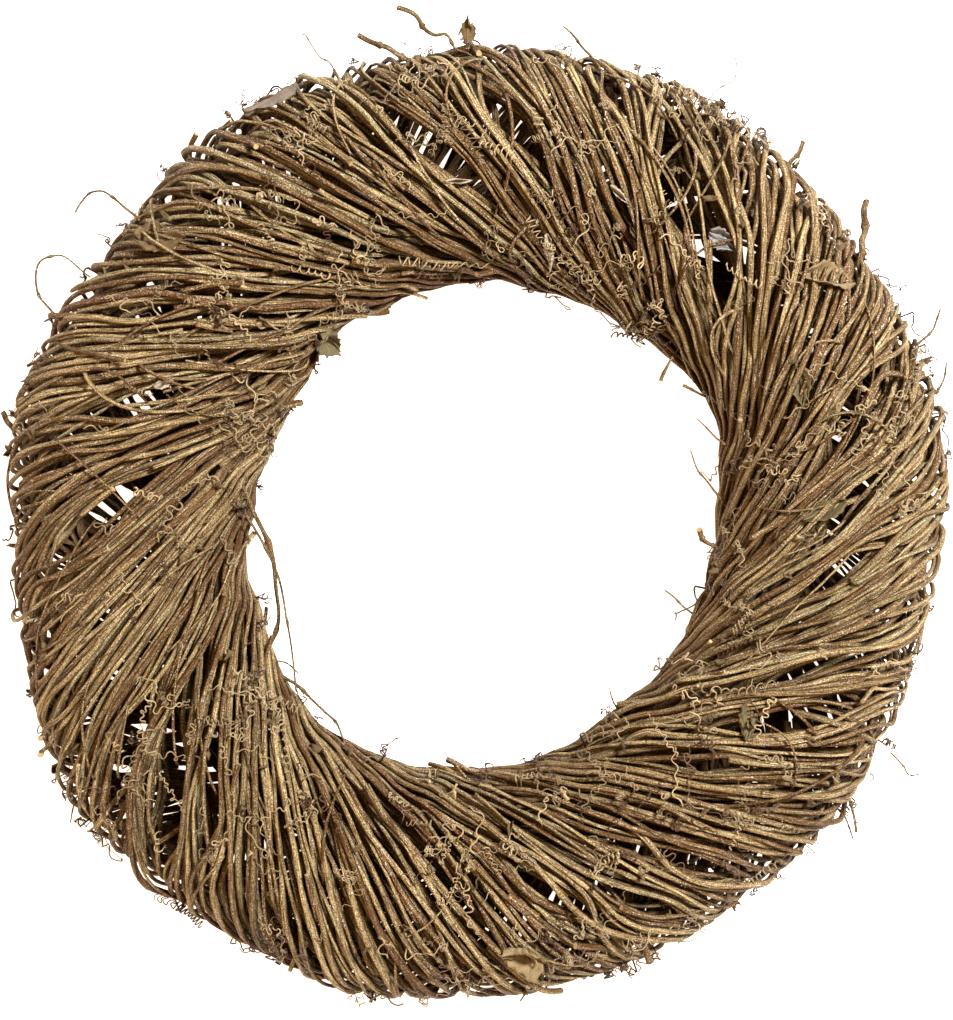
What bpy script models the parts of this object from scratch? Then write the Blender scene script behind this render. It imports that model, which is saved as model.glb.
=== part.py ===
"""A rattan wreath, lying flat: forked vines wound slantwise round a hollow ring, with curled tendrils,
cut stubs and a few dried leaves. Metres, +Z up, the back of the ring on z = 0.

Angles round the ring ("turn") run clockwise from +Y, seen from above. Angles round the ring's section
("swing") start at its outermost point and go over the top to the hole, then under it. The section is a
polygon of corners ("rings" 0 to 11), so every cane has straight lengths between one ring and the next.
"""

import math
import random

import bmesh
import bpy
import numpy as np
from mathutils import Matrix, Vector
from mathutils.bvhtree import BVHTree

SEED = 18

# The whole ring
OUTER_RADIUS = 0.225
HALF_WIDTH = 0.0555
HALF_HEIGHT = 0.042
HOLE_SHIFT_X = 0.0035
HOLE_SHIFT_Y = -0.0012
OVAL_BY = 0.0045
OVAL_TURN = math.radians(33)

# The winding: 42 vines of 3 canes lie side by side, and each goes once round the section
VINES = 42
CANES = 3
TRACK = math.radians(360 / (VINES * CANES))
TRACKS_PER_TURN = 36
RINGS = 12
RING_STEP = math.radians(360 / RINGS)
FIRST_RING = math.radians(-75)
SLANT_RADIUS = 0.0914
FORK_RINGS = (1, 2, 2, 3)
FORK_PULL = 0.7
FORK_CROWNS = {-1: 0.0007, 0: 0.0, 1: 0.0012}
FORK_BASES = {-1: 0.0009, 0: 0.0, 1: 0.0005}
END_SHORT_BY = 0.14

# A cane's section: widths across it, and depths below the ring's surface
OUTER_CANE = 0.0074
INNER_CANE = 0.0052
CROWN_SHARE = 0.52
CANE_DEPTH = 0.0044
SIDE_GAP = 0.0004
LAYER_GAP = 0.0007
MOST_RECESS = 0.0010
LAYERED_RINGS = (6, 7, 8, 9, 10, 11)
WIDE_RINGS = (7, 8, 9, 10)
RESTING_RINGS = (0, 11)
LEAST_WIDTH_SHARE = 0.86
LAYER_FILL = 0.82
BASE_VARIES = 0.0004
SWAY_TRACKS = 0.13

# Where the front of the ring is open enough to see through, as turns in degrees at mid front
OPENINGS_AT = (6, 39, 74, 96, 122, 150, 230, 271, 284, 308)
OPEN_RING = 4.5
OPEN_SQUEEZE = 0.30
OPEN_REACH = 0.8
LEAST_SQUEEZE = 0.04
MOST_SQUEEZE = 0.16

# What grows from the vines
TENDRIL_RADIUS = 0.0005
TENDRIL_STAND = 0.0024
TENDRIL_POINTS = 10
TENDRIL_TAPER = 0.45
TENDRIL_HEADING = math.radians(70)
TENDRIL_REACH = (0.012, 0.022)
TENDRIL_COIL = (0.0018, 0.0032)
TENDRIL_ROUNDS = (1.4, 2.4)
TENDRIL_RINGS = (3.35, 4.5, 5.4, 4.1)
RING_CLEAR_OF_STUBS = 5.4
STUB_TURNS = (346, 335, 40, 52, 284, 249, 98, 131)
STUB_RING = 3.5
STUB_RADIUS = 0.0019
STUB_REACH = (0.006, 0.010)
STUB_RISE = 0.75
STUB_BACK = 0.66
RUNNER_TURN = 264
RUNNER_RING = 8.5
RUNNER_SWEEP = math.radians(34)
RUNNER_STEPS = 9
RUNNER_OFF_EDGE = 0.0022
RUNNER_ARCH = 0.0085
RUNNER_RISE = 0.022
RUNNER_RADIUS = 0.0012
SINK = 0.0022

BARKS = {
    "golden_bark": (0.36, 0.22, 0.10),
    "brown_bark": (0.25, 0.14, 0.065),
    "red_bark": (0.27, 0.13, 0.06),
    "grey_bark": (0.29, 0.22, 0.14),
}

# What lies on the vines. Each has its turn and heading in degrees, its ring, its length and width in
# metres, its fold as a slope either side of the midrib, and its curl as a share of its length.
SEAT_GAP = 0.0003
DROP_FROM = 0.02
DROP_STEPS = 60
CLOSE_ENOUGH = 0.00003
LEAF_THICKNESS = 0.0008
LEAF_TEETH = 3
TOOTH_SHARE = 0.10
LEAST_LEAF_SHARE = 0.07
RIPPLE = 0.0012
BROWN = (0.23, 0.16, 0.08)
OLIVE = (0.17, 0.16, 0.06)
PALE = (0.36, 0.27, 0.16)
GREY = (0.22, 0.19, 0.16)
PAPER = (0.55, 0.50, 0.44)
LYING = {
    "leaf_top_left": (312, 4, 10, 0.030, 0.022, 0.25, 0.5, BROWN),
    "leaf_outer_top": (359, 2.5, 80, 0.014, 0.010, 0.3, 0.8, OLIVE),
    "leaf_hole_left": (321, 7, 60, 0.017, 0.012, 0.3, 0.8, BROWN),
    "leaf_top_right": (55, 4, 75, 0.026, 0.013, 0.3, 0.5, BROWN),
    "leaf_right_upper": (67, 5.5, 20, 0.020, 0.012, 0.25, 0.6, PALE),
    "leaf_right": (87, 5.5, 60, 0.024, 0.012, 0.3, 0.5, OLIVE),
    "leaf_lower_right": (126, 6, -30, 0.022, 0.012, 0.3, 0.6, OLIVE),
    "leaf_bottom": (174, 4, 15, 0.024, 0.016, 0.25, 0.5, PALE),
    "bark_strip": (334, 3.5, 0, 0.027, 0.009, 0.12, 0.1, GREY),
    "papery_scrap": (45, 5.5, 0, 0.014, 0.010, 0.12, 0.1, PAPER),
}


def draw(low, high, *key):
    """A number from low to high that is always the same for the same key."""
    return random.Random(repr((SEED, *key))).uniform(low, high)


def material(name, colour, roughness=0.75):
    made = bpy.data.materials.new(name)
    made.use_nodes = True
    shader = made.node_tree.nodes["Principled BSDF"]
    shader.inputs["Base Color"].default_value = (*colour, 1.0)
    shader.inputs["Roughness"].default_value = roughness
    shader.inputs["Metallic"].default_value = 0.0
    return made


def swing_of(ring):
    return FIRST_RING + RING_STEP * ring


def half_width_at(turn):
    """The ring is widest on the side that the hole has moved away from."""
    shift = HOLE_SHIFT_X * math.sin(turn) + HOLE_SHIFT_Y * math.cos(turn)
    return HALF_WIDTH - shift / 2


def outer_radius_at(turn):
    """The ring is slightly oval, and longest towards OVAL_TURN."""
    return OUTER_RADIUS + OVAL_BY * math.cos(2 * (turn - OVAL_TURN))


def on_ring(turn, swing, depth):
    """A corner of the section's polygon, or one as far inside it as depth."""
    half_width = half_width_at(turn)
    to_corner = 1 / math.cos(RING_STEP / 2)
    radius = outer_radius_at(turn) - half_width + (half_width - depth) * to_corner * math.cos(swing)
    height = HALF_HEIGHT + (HALF_HEIGHT - depth) * to_corner * math.sin(swing)
    return Vector((radius * math.sin(turn), radius * math.cos(turn), height))


def section_centre(turn):
    radius = outer_radius_at(turn) - half_width_at(turn)
    return Vector((radius * math.sin(turn), radius * math.cos(turn), HALF_HEIGHT))


def radius_at(swing):
    return OUTER_RADIUS - HALF_WIDTH + HALF_WIDTH * math.cos(swing)


def arc_rate(swing):
    """Length round the section for each radian of swing."""
    return math.hypot(HALF_WIDTH * math.sin(swing), HALF_HEIGHT * math.cos(swing))


def lean(swing):
    """Turn for each radian of swing, as a taut string lies: radius times the cosine of its slant is fixed."""
    radius = radius_at(swing)
    return arc_rate(swing) * SLANT_RADIUS / (radius * math.sqrt(radius**2 - SLANT_RADIUS**2))


def turns_to_rings():
    """The turn that a cane has made at each ring, scaled to a whole number of tracks in one round."""
    steps = 60
    sums = [0.0]
    for ring in range(RINGS):
        middles = swing_of(ring) + RING_STEP * (np.arange(steps) + 0.5) / steps
        sums.append(sums[-1] + sum(lean(swing) for swing in middles) * RING_STEP / steps)
    scale = TRACKS_PER_TURN * TRACK / sums[-1]
    return [scale * total for total in sums], scale


TURN_TO_RING, LEAN_SCALE = turns_to_rings()


def turn_to(ring):
    """The same for a ring number with a fraction, or past one round."""
    rounds, within = divmod(ring, RINGS)
    first = int(within)
    step = TURN_TO_RING[first + 1] - TURN_TO_RING[first]
    return rounds * TRACKS_PER_TURN * TRACK + TURN_TO_RING[first] + (within - first) * step


def room_at(ring):
    """Distance between neighbouring tracks, square to the canes."""
    swing = swing_of(ring)
    radius = radius_at(swing)
    slant = math.atan2(arc_rate(swing), radius * lean(swing) * LEAN_SCALE)
    return TRACK * radius * math.sin(slant)


def middle_turn(vine, ring):
    return (vine * CANES + 1) * TRACK + turn_to(ring)


def wrapped(angle):
    return (angle + math.pi) % (2 * math.pi) - math.pi


def gathering(vine):
    """(squeeze, slide) of a vine's canes on the outer half, in tracks: most beside the open places."""
    squeeze = draw(LEAST_SQUEEZE, MOST_SQUEEZE, "squeeze", vine)
    slide = draw(-squeeze, squeeze, "slide", vine)
    for degrees in OPENINGS_AT:
        away = wrapped(middle_turn(vine, OPEN_RING) - math.radians(degrees))
        if abs(away) < OPEN_REACH * CANES * TRACK:
            return OPEN_SQUEEZE, math.copysign(OPEN_SQUEEZE, away)
    return squeeze, slide


def fork_ring(vine):
    return FORK_RINGS[int(draw(0, len(FORK_RINGS), "fork", vine % VINES))]


def goes_under(vine, place):
    """Towards the hole, where there is no room side by side, every second cane dives under the others."""
    return (vine * CANES + place) % 2 == 1


def cane_section(vine, place, ring):
    """(turn, half angle, outer depth, inner depth) of a cane where it crosses a ring."""
    around = ring % RINGS
    swing = swing_of(ring)
    gathered = max(0.0, math.cos(swing - RING_STEP))
    squeeze, slide = gathering(vine)
    wide = around in WIDE_RINGS
    tracks = place * (1 - squeeze * gathered) + slide * gathered
    if wide:
        tracks += draw(-SWAY_TRACKS, SWAY_TRACKS, "sway", vine, place, ring)
    room = room_at(ring)
    share = (1 + math.cos(swing)) / 2
    width = INNER_CANE + (OUTER_CANE - INNER_CANE) * share
    width *= draw(LEAST_WIDTH_SHARE, 1.0, "width", vine, place)
    spacing = 2 * room * LAYER_FILL if wide else room * (1 - squeeze * gathered)
    width = min(width, spacing - SIDE_GAP)
    layered = around in LAYERED_RINGS
    under = layered and goes_under(vine, place)
    level = under or around in RESTING_RINGS
    outer = 0.0 if level else draw(0.0, MOST_RECESS, "recess", vine, place, ring)
    inner = CANE_DEPTH if layered else CANE_DEPTH - draw(0.0, BASE_VARIES, "depth", vine, place)
    below = CANE_DEPTH + LAYER_GAP if under else 0.0
    if ring == fork_ring(vine):
        tracks = slide * gathered + place * (1 - FORK_PULL)
    if ring in (fork_ring(vine), fork_ring(vine) + 1):
        outer, inner = FORK_CROWNS[place], CANE_DEPTH - FORK_BASES[place]
    turn = middle_turn(vine, ring) + tracks * TRACK
    half_angle = width / 2 / room * TRACK
    return turn, half_angle, below + outer, below + inner


def cane_corner(vine, place, ring, side, crown):
    turn, half_angle, outer, inner = cane_section(vine, place, ring)
    reach = half_angle * (CROWN_SHARE if crown else 1.0)
    return on_ring(turn + side * reach, swing_of(ring), outer if crown else inner)


def last_ring(vine):
    """The ring just short of which a vine ends, because the next vine on its tracks forks there."""
    return RINGS + fork_ring(vine + TRACKS_PER_TURN // CANES)


def box_of_lengths(lengths):
    """A box from -0.5 to 0.5, cut across into this many lengths along X."""
    shape = bmesh.new()
    bmesh.ops.create_cube(shape, size=1.0)
    long_edges = [e for e in shape.edges if abs(e.verts[0].co.x - e.verts[1].co.x) > 0.5]
    bmesh.ops.subdivide_edges(shape, edges=long_edges, cuts=lengths - 1, use_grid_fill=True)
    return shape


def wind_cane(vine, place):
    """One cane: a straight box whose lengths are laid from ring to ring."""
    first, last = fork_ring(vine), last_ring(vine)
    lengths = last - first
    shape = box_of_lengths(lengths)
    for vert in shape.verts:
        station = round((vert.co.x + 0.5) * lengths)
        side = math.copysign(1.0, vert.co.y)
        crown = vert.co.z > 0
        corner = cane_corner(vine, place, first + station, side, crown)
        if station == lengths:
            before = cane_corner(vine, place, last - 1, side, crown)
            corner = corner.lerp(before, END_SHORT_BY)
        vert.co = corner
    return object_from(shape, f"cane_{vine}_{place}")


def object_from(shape, name):
    mesh = bpy.data.meshes.new(name)
    shape.to_mesh(mesh)
    shape.free()
    return bpy.data.objects.new(name, mesh)


def tube(points, radius, name):
    """A square tube through the points, with welded caps."""
    curve = bpy.data.curves.new(name, "CURVE")
    curve.dimensions = "3D"
    curve.bevel_depth = radius
    curve.bevel_resolution = 0
    curve.use_fill_caps = True
    spline = curve.splines.new("POLY")
    spline.points.add(len(points) - 1)
    for point, place in zip(spline.points, points):
        point.co = (*place, 1.0)
    line = bpy.data.objects.new(name, curve)
    bpy.context.scene.collection.objects.link(line)
    bpy.context.view_layer.update()
    graph = bpy.context.evaluated_depsgraph_get()
    mesh = bpy.data.meshes.new_from_object(line.evaluated_get(graph))
    bpy.data.objects.remove(line)
    shape = bmesh.new()
    shape.from_mesh(mesh)
    bpy.data.meshes.remove(mesh)
    bmesh.ops.remove_doubles(shape, verts=shape.verts, dist=0.00001)
    bmesh.ops.recalc_face_normals(shape, faces=shape.faces)
    return object_from(shape, name)


def perch(vine, place, ring):
    """(point, outward, along) at the middle of a cane's outer face, part of the way between two rings."""
    first = int(ring)
    ends = []
    for corner in (first, first + 1):
        left = cane_corner(vine, place, corner, -1, True)
        right = cane_corner(vine, place, corner, 1, True)
        ends.append((left + right) / 2)
    point = ends[0].lerp(ends[1], ring - first)
    along = (ends[1] - ends[0]).normalized()
    turn = math.atan2(point.x, point.y)
    outward = point - section_centre(turn)
    outward = (outward - outward.project(along)).normalized()
    return point, outward, along


def tendril(vine, place, ring, heading, reach, coil, rounds):
    """A thin curl that leaves its cane and coils along over the surface."""
    root, outward, along = perch(vine, place, ring)
    run = Matrix.Rotation(heading, 3, outward) @ along
    side = outward.cross(run)
    points = [root - outward * SINK]
    for step in range(TENDRIL_POINTS + 1):
        share = step / TENDRIL_POINTS
        angle = 2 * math.pi * rounds * share
        radius = coil * (1 - TENDRIL_TAPER * share)
        centre = root + outward * (TENDRIL_STAND + coil) + run * (reach * share)
        points.append(centre + (side * math.sin(angle) - outward * math.cos(angle)) * radius)
    return tube(points, TENDRIL_RADIUS, f"tendril_{vine}")


def stub(vine, place, ring):
    """The cut end of a side shoot, sticking up from its cane."""
    root, outward, along = perch(vine, place, ring)
    tip = root + (outward * STUB_RISE - along * STUB_BACK) * draw(*STUB_REACH, "stub", vine)
    return tube([root - outward * SINK, tip], STUB_RADIUS, f"stub_{vine}")


def runner(vine, place, ring):
    """The thin loose shoot that leaves a cane at the hole, arches along its edge and ends free."""
    root, outward, _ = perch(vine, place, ring)
    start = math.atan2(root.x, root.y)
    points = [root - outward * SINK]
    for step in range(RUNNER_STEPS + 1):
        share = step / RUNNER_STEPS
        turn = start - RUNNER_SWEEP * share
        hole_edge = outer_radius_at(turn) - 2 * half_width_at(turn)
        radius = hole_edge - RUNNER_OFF_EDGE - RUNNER_ARCH * math.sin(math.pi * share) ** 0.8
        height = root.z + RUNNER_RISE * share
        points.append(Vector((radius * math.sin(turn), radius * math.cos(turn), height)))
    return tube(points, RUNNER_RADIUS, f"runner_{vine}")


def nearest_vine(degrees, ring):
    """The vine whose middle cane passes closest to this turn on this ring."""
    target = math.radians(degrees)
    return min(range(VINES), key=lambda vine: abs(wrapped(middle_turn(vine, ring) - target)))


def growth():
    """Everything that grows from the vines, as a list for each vine."""
    grown = {vine: [] for vine in range(VINES)}
    for degrees in STUB_TURNS:
        vine = nearest_vine(degrees, STUB_RING)
        grown[vine].append(stub(vine, 0, STUB_RING))
    vine = nearest_vine(RUNNER_TURN, RUNNER_RING)
    grown[vine].append(runner(vine, 0, RUNNER_RING))
    curled = [vine for vine in range(VINES) if vine % 5 in (0, 2)]
    for number, vine in enumerate(curled):
        beside_stub = any(grown[(vine + step) % VINES] for step in (-1, 0, 1, 2))
        ring = RING_CLEAR_OF_STUBS if beside_stub else TENDRIL_RINGS[number % len(TENDRIL_RINGS)]
        ring += draw(-0.1, 0.1, "curl ring", vine)
        heading = draw(-TENDRIL_HEADING, TENDRIL_HEADING, "heading", vine)
        reach = draw(*TENDRIL_REACH, "reach", vine)
        coil = draw(*TENDRIL_COIL, "coil", vine)
        rounds = draw(*TENDRIL_ROUNDS, "rounds", vine)
        place = 0 if goes_under(vine, 1) else (-1, 1)[number % 2]
        grown[vine].append(tendril(vine, place, ring, heading, reach, coil, rounds))
    return grown


def fused(main, others, name):
    """The main object and the others as one solid."""
    scene_objects = bpy.context.scene.collection.objects
    joining = bpy.data.collections.new("joining")
    scene_objects.link(main)
    for other in others:
        joining.objects.link(other)
    union = main.modifiers.new("Union", "BOOLEAN")
    union.operation = "UNION"
    union.solver = "MANIFOLD"
    union.operand_type = "COLLECTION"
    union.collection = joining
    bpy.context.view_layer.update()
    graph = bpy.context.evaluated_depsgraph_get()
    mesh = bpy.data.meshes.new_from_object(main.evaluated_get(graph))
    mesh.name = name
    made = bpy.data.objects.new(name, mesh)
    for used in (main, *others):
        bpy.data.objects.remove(used)
    bpy.data.collections.remove(joining)
    return made


def vines():
    barks = [material(name, colour) for name, colour in BARKS.items()]
    grown = growth()
    made = []
    for vine in range(VINES):
        canes = [wind_cane(vine, place) for place in (0, -1, 1)]
        wound = fused(canes[0], canes[1:] + grown[vine], f"vine_{vine + 1:02d}")
        wound.data.materials.clear()
        wound.data.materials.append(barks[int(draw(0, len(barks), "bark", vine))])
        made.append(wound)
    return made


def surface_of(objects):
    """One search tree over the faces of several objects."""
    points, faces = [], []
    for item in objects:
        start = len(points)
        points += [vert.co.copy() for vert in item.data.vertices]
        faces += [[start + index for index in face.vertices] for face in item.data.polygons]
    return BVHTree.FromPolygons(points, faces)


def seat(shape, outward, surface):
    """Lowers a shape from above the vines until it lies a hair's breadth off them."""
    bmesh.ops.translate(shape, verts=shape.verts, vec=outward * DROP_FROM)
    for _ in range(DROP_STEPS):
        spots = [vert.co for vert in shape.verts]
        spots += [face.calc_center_median() for face in shape.faces]
        spots += [(edge.verts[0].co + edge.verts[1].co) / 2 for edge in shape.edges]
        clear = min(surface.find_nearest(spot)[3] for spot in spots) - SEAT_GAP - LEAF_THICKNESS / 2
        if clear < CLOSE_ENOUGH:
            break
        bmesh.ops.translate(shape, verts=shape.verts, vec=outward * -clear)


def leaf_outline(share):
    """Half the width of a leaf at a share of its length, as a share of its greatest half width."""
    body = math.sin(math.pi * min(1.0, share**0.75)) ** 0.8 if 0 < share < 1 else 0.0
    wave = 1 + TOOTH_SHARE * math.cos(2 * math.pi * LEAF_TEETH * share)
    return max(LEAST_LEAF_SHARE, body * wave)


def leaf(name, surface):
    """A dried leaf or a flake of bark: a blade folded along its middle and curled up, lying on the vines."""
    degrees, ring, heading, length, width, fold, curl, colour = LYING[name]
    turn = math.radians(degrees)
    swing = swing_of(ring)
    foot = on_ring(turn, swing, 0.0)
    outward = Vector((math.sin(turn) * math.cos(swing), math.cos(turn) * math.cos(swing), math.sin(swing)))
    round_ring = Vector((math.cos(turn), -math.sin(turn), 0.0))
    run = Matrix.Rotation(math.radians(heading), 3, outward) @ round_ring
    side = outward.cross(run)
    shape = bmesh.new()
    bmesh.ops.create_grid(shape, x_segments=6, y_segments=2, size=0.5)
    for vert in shape.verts:
        share = min(1.0, max(0.0, vert.co.x + 0.5))
        across = vert.co.y * leaf_outline(share) * width
        lift = fold * abs(across) + curl * length * (share - 0.5) ** 2
        ripple = RIPPLE * math.sin(9 * share + 2.2 * vert.co.y + degrees)
        vert.co = foot + run * ((share - 0.5) * length) + side * across + outward * (lift + ripple)
    bmesh.ops.triangulate(shape, faces=shape.faces)
    seat(shape, outward, surface)
    made = object_from(shape, name)
    thicken = made.modifiers.new("Thickness", "SOLIDIFY")
    thicken.thickness = LEAF_THICKNESS
    thicken.offset = 0.0
    made.data.materials.append(material(f"{name}_blade", colour, 0.8))
    return made


def main():
    for item in list(bpy.data.objects):
        bpy.data.objects.remove(item)
    wreath = bpy.data.collections.new("rattan_wreath")
    bpy.context.scene.collection.children.link(wreath)
    wound = vines()
    surface = surface_of(wound)
    for item in wound + [leaf(name, surface) for name in LYING]:
        wreath.objects.link(item)


main()
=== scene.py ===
"""A rattan wreath: wound vine canes, curled tendrils, dried leaves and the stage they lie on."""

import functools
import math
import random

import bpy
import numpy as np
from bpy.props import FloatProperty, FloatVectorProperty, IntProperty, PointerProperty
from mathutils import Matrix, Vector


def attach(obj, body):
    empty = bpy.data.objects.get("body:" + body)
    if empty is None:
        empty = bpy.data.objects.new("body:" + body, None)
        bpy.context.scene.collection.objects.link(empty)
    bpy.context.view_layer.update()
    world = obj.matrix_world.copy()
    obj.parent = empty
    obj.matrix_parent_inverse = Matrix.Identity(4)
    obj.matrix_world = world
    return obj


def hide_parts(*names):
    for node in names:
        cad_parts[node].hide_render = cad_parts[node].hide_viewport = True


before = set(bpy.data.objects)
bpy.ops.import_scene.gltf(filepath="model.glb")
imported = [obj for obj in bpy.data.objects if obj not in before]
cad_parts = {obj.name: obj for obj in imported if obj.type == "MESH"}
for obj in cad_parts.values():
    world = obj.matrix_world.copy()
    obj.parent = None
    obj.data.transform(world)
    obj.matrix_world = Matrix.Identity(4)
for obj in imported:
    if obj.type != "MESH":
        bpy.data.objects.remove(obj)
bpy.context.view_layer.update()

bl_info = {
    "name": "Rattan Wreath",
    "version": (1, 0, 0),
    "blender": (4, 5, 0),
    "location": "View3D > Sidebar > Wreath",
    "description": "Winds a rattan wreath from vine canes and dresses it with tendrils and dried leaves",
    "category": "Add Mesh",
}

SEED = 18
MM = 0.001

# The photo's frame in pixels, the wreath's middle in it, and the size of a pixel on the wreath
PHOTO_HIGH = 1020
PHOTO_MIDDLE = (476.5, 510.0)
WREATH_MIDDLE = (476.0, 522.6)
PIXEL = 0.477 * MM

# The winding, as the solids have it: three tracks a vine, and corners of the section every 30 degrees
VINES = 42
TRACKS_A_VINE = 3
TRACK = 2 * math.pi / (VINES * TRACKS_A_VINE)
TRACKS_PER_TURN = 36
FIRST_SWING = math.radians(-75)
FORK_RINGS = (1, 2, 2, 3)
RINGS = 12
SLANT_RADIUS = 0.0914

# The finer steps that the canes are laid in: 5 degrees of the section
STEPS = 72
STEP = 2 * math.pi / STEPS
STEPS_A_RING = STEPS // RINGS

# Where the canes stand apart, front and back: turn and swing in degrees, push in tracks, reach in degrees
OPENINGS = (
    (6, 74, 0.8, 24),
    (38, 96, 2.4, 42),
    (73, 66, 0.8, 22),
    (77, 92, 0.6, 20),
    (90.5, 93, 0.8, 24),
    (96.5, 83, 0.7, 24),
    (115, 91, 0.4, 20),
    (122, 85, 0.9, 38),
    (136, 105, 0.5, 18),
    (148, 72, 0.6, 24),
    (156, 58, 0.6, 20),
    (170, 88, 0.6, 24),
    (223, 78, 0.8, 28),
    (230, 72, 1.4, 36),
    (237, 66, 0.8, 28),
    (271, 82, 1.1, 32),
    (291, 97, 0.9, 28),
    (303, 72, 0.5, 20),
    (355, 90, 0.8, 28),
    (39, 264, 1.4, 36),
    (271, 266, 0.6, 26),
    (229, 266, 0.7, 30),
)

# How far to each side an opening pushes the canes, in tracks
OPENING_WIDE = 1.7

# The finished outside against the solids' section, and how far its two edges are moved
FULLNESS = 1.012
OUTER_EDGE_IN = 0.5 * MM
INNER_EDGE_OUT = 0.7 * MM

# How far the edges stand off the oval, as waves round the ring: times, mm and phase. They weren't chosen by
# hand: they were fitted to how far the photo's edges lie from a plain oval, and rounded
OUTER_EDGE = ((1, 1.1, 1.39), (3, 1.3, 1.64), (7, 2.0, 2.87), (8, 1.0, 4.26), (9, 1.0, 5.97))
INNER_EDGE = ((2, 0.8, 5.07), (3, 1.7, 1.63), (4, 1.4, 1.92), (5, 0.9, 1.09), (7, 1.3, 4.78))

# How the canes lie: waves and zigzag in tracks, what share strays and by how many tracks, what share has
# settled, and how far the settled and the loose ones are lifted in metres
CANE_WAVES = (0.24, 0.19, 0.13, 0.10, 0.07, 0.05)
VINE_WAVES = (0.45, 0.32, 0.20)
KINK = 0.20
STRAY_SHARE = 0.34
STRAY_BY = (1.2, 4.0)
SETTLED_SHARE = 0.80
SETTLED_LIFT = (0, 0.0010)
LOOSE_LIFT = (0.001, 0.0045)

# The latest step at which a cane starts, and the last step before its tail
LATEST_START = 14
LATEST_END = STEPS + 10

# Cells for each track in which crowding is measured
CELLS_A_TRACK = 8

# How many small things lie by chance, and in how many pieces the tendrils are kept
CUT_SHOOTS = 90
CROSSING_SHOOTS = 60
TENDRIL_CLUSTERS = 75
TENDRIL_PIECES = 12
CRUMBS = 80

# How thick leaves and crumbs are, the corners of a crumb each way, and the quads of a leaf each way
LEAF_THICKNESS = 0.00025
CRUMB_THICKNESS = 0.0002
CRUMB_CORNERS = (5, 4)
LEAF_QUADS = (26, 16)

# The floor's side and height, just under the lowest cane, and the width of the camera's sensor in mm
FLOOR_SIDE = 40
FLOOR_HEIGHT = -0.0008
SENSOR = 36.0

# Loose twigs: radius at the root and tip, height at both, and the way in mm from the ring's middle
TWIGS = (
    (
        (1.4, 0.8),
        (58, 40),
        ((-118, 26), (-108, 12), (-99, -8), (-95, -27), (-94, -46), (-101, -63), (-110, -72)),
    ),
    ((0.8, 0.5), (60, 52), ((-118, 16), (-107, 2), (-96, -18), (-90.6, -37), (-88, -54), (-85, -80))),
    ((0.9, 0.5), (44, 48), ((-98, -70), (-87, -76), (-76, -86), (-66, -96), (-60, -110))),
    ((0.8, 0.25), (50, 56), ((124, 33), (114, 40), (104, 49))),
    ((0.8, 0.25), (46, 58), ((125, 2), (118, 9), (111.6, 16.5), (105.4, 24), (100.6, 34))),
    ((0.6, 0.35), (40, 44), ((118, -56), (107, -47), (98, -39), (90, -32))),
    ((0.4, 1.6), (44, 52), ((124, -16), (113, -11), (107.8, -8.3), (105.4, -3.1))),
    ((0.4, 1.1), (50, 50), ((97, 84), (91, 75), (87.3, 67.1))),
    ((0.35, 0.9), (46, 46), ((116, 56), (107, 61), (98.3, 65.2))),
    (
        (1.3, 1.1),
        (46, 44),
        ((121, -8), (116, -18), (112.6, -27.4), (106.9, -36.9), (102.1, -47.4), (101, -60), (108, -74)),
    ),
    ((0.8, 0.5), (54, 50), ((14, 122), (4, 116), (-3, 113))),
    ((0.9, 1.5), (62, 66), ((-196, -88), (-202, -98), (-203, -101))),
    ((0.8, 1.4), (60, 64), ((-196, -98), (-202, -106), (-204, -108.5))),
    ((0.4, 0.3), (60, 66), ((-64, 206), (-68, 215), (-74, 219), (-79, 227), (-81.5, 228.5))),
    ((0.35, 0.25), (62, 60), ((104, 190), (112, 202), (121, 208), (122, 216), (121, 220))),
    ((0.8, 0.5), (56, 54), ((208, 84), (216, 92), (219, 101))),
    ((0.7, 0.4), (50, 48), ((216, 60), (221, 66), (223.5, 76))),
    ((0.5, 0.3), (40, 38), ((198, -110), (204, -116), (207.5, -121), (213, -120))),
    ((0.6, 0.4), (44, 40), ((168, -134), (176, -140), (180, -151))),
    ((0.5, 0.3), (50, 52), ((-182, -120), (-189, -130), (-192, -142))),
    ((0.7, 0.4), (50, 48), ((38, 117), (30, 111), (22, 110.5))),
    ((0.7, 0.3), (44, 48), ((72, -96), (66, -86), (63, -78))),
    ((0.7, 0.3), (48, 44), ((-104, -68), (-92, -66), (-84, -72))),
    (
        (0.3, 1.4),
        (62, 60),
        ((6, 208), (-2, 219), (-9, 222), (-14, 229), (-20, 229), (-25, 233), (-29, 239), (-37, 242)),
    ),
    ((1.6, 1.4), (60, 58), ((-22, 211), (-34, 219), (-44, 224), (-55, 229))),
    ((0.8, 0.5), (58, 60), ((66, 205), (58, 214), (49, 225), (41, 233.5))),
    ((1.7, 1.5), (60, 52), ((180, 116), (181, 126), (183, 138), (184, 153))),
    ((1.5, 1.5), (50, 48), ((-202, 32), (-210, 38), (-218, 44), (-225, 52))),
    ((1.3, 1.1), (60, 58), ((142, 158), (146, 166), (150, 172), (154, 179))),
    ((0.9, 0.6), (52, 50), ((160, -116), (170, -124), (177, -131), (180, -147))),
    ((0.7, 0.4), (58, 54), ((-188, 90), (-200, 100), (-207, 110), (-206, 122), (-196, 126), (-182, 116))),
    ((0.8, 0.6), (50, 46), ((-206, 46), (-216, 38), (-221.5, 26), (-221, 8), (-214, -4), (-204, -12))),
    ((0.7, 0.5), (60, 57), ((-158, 142), (-167, 150), (-176, 156), (-183, 154), (-189, 146))),
)

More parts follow.
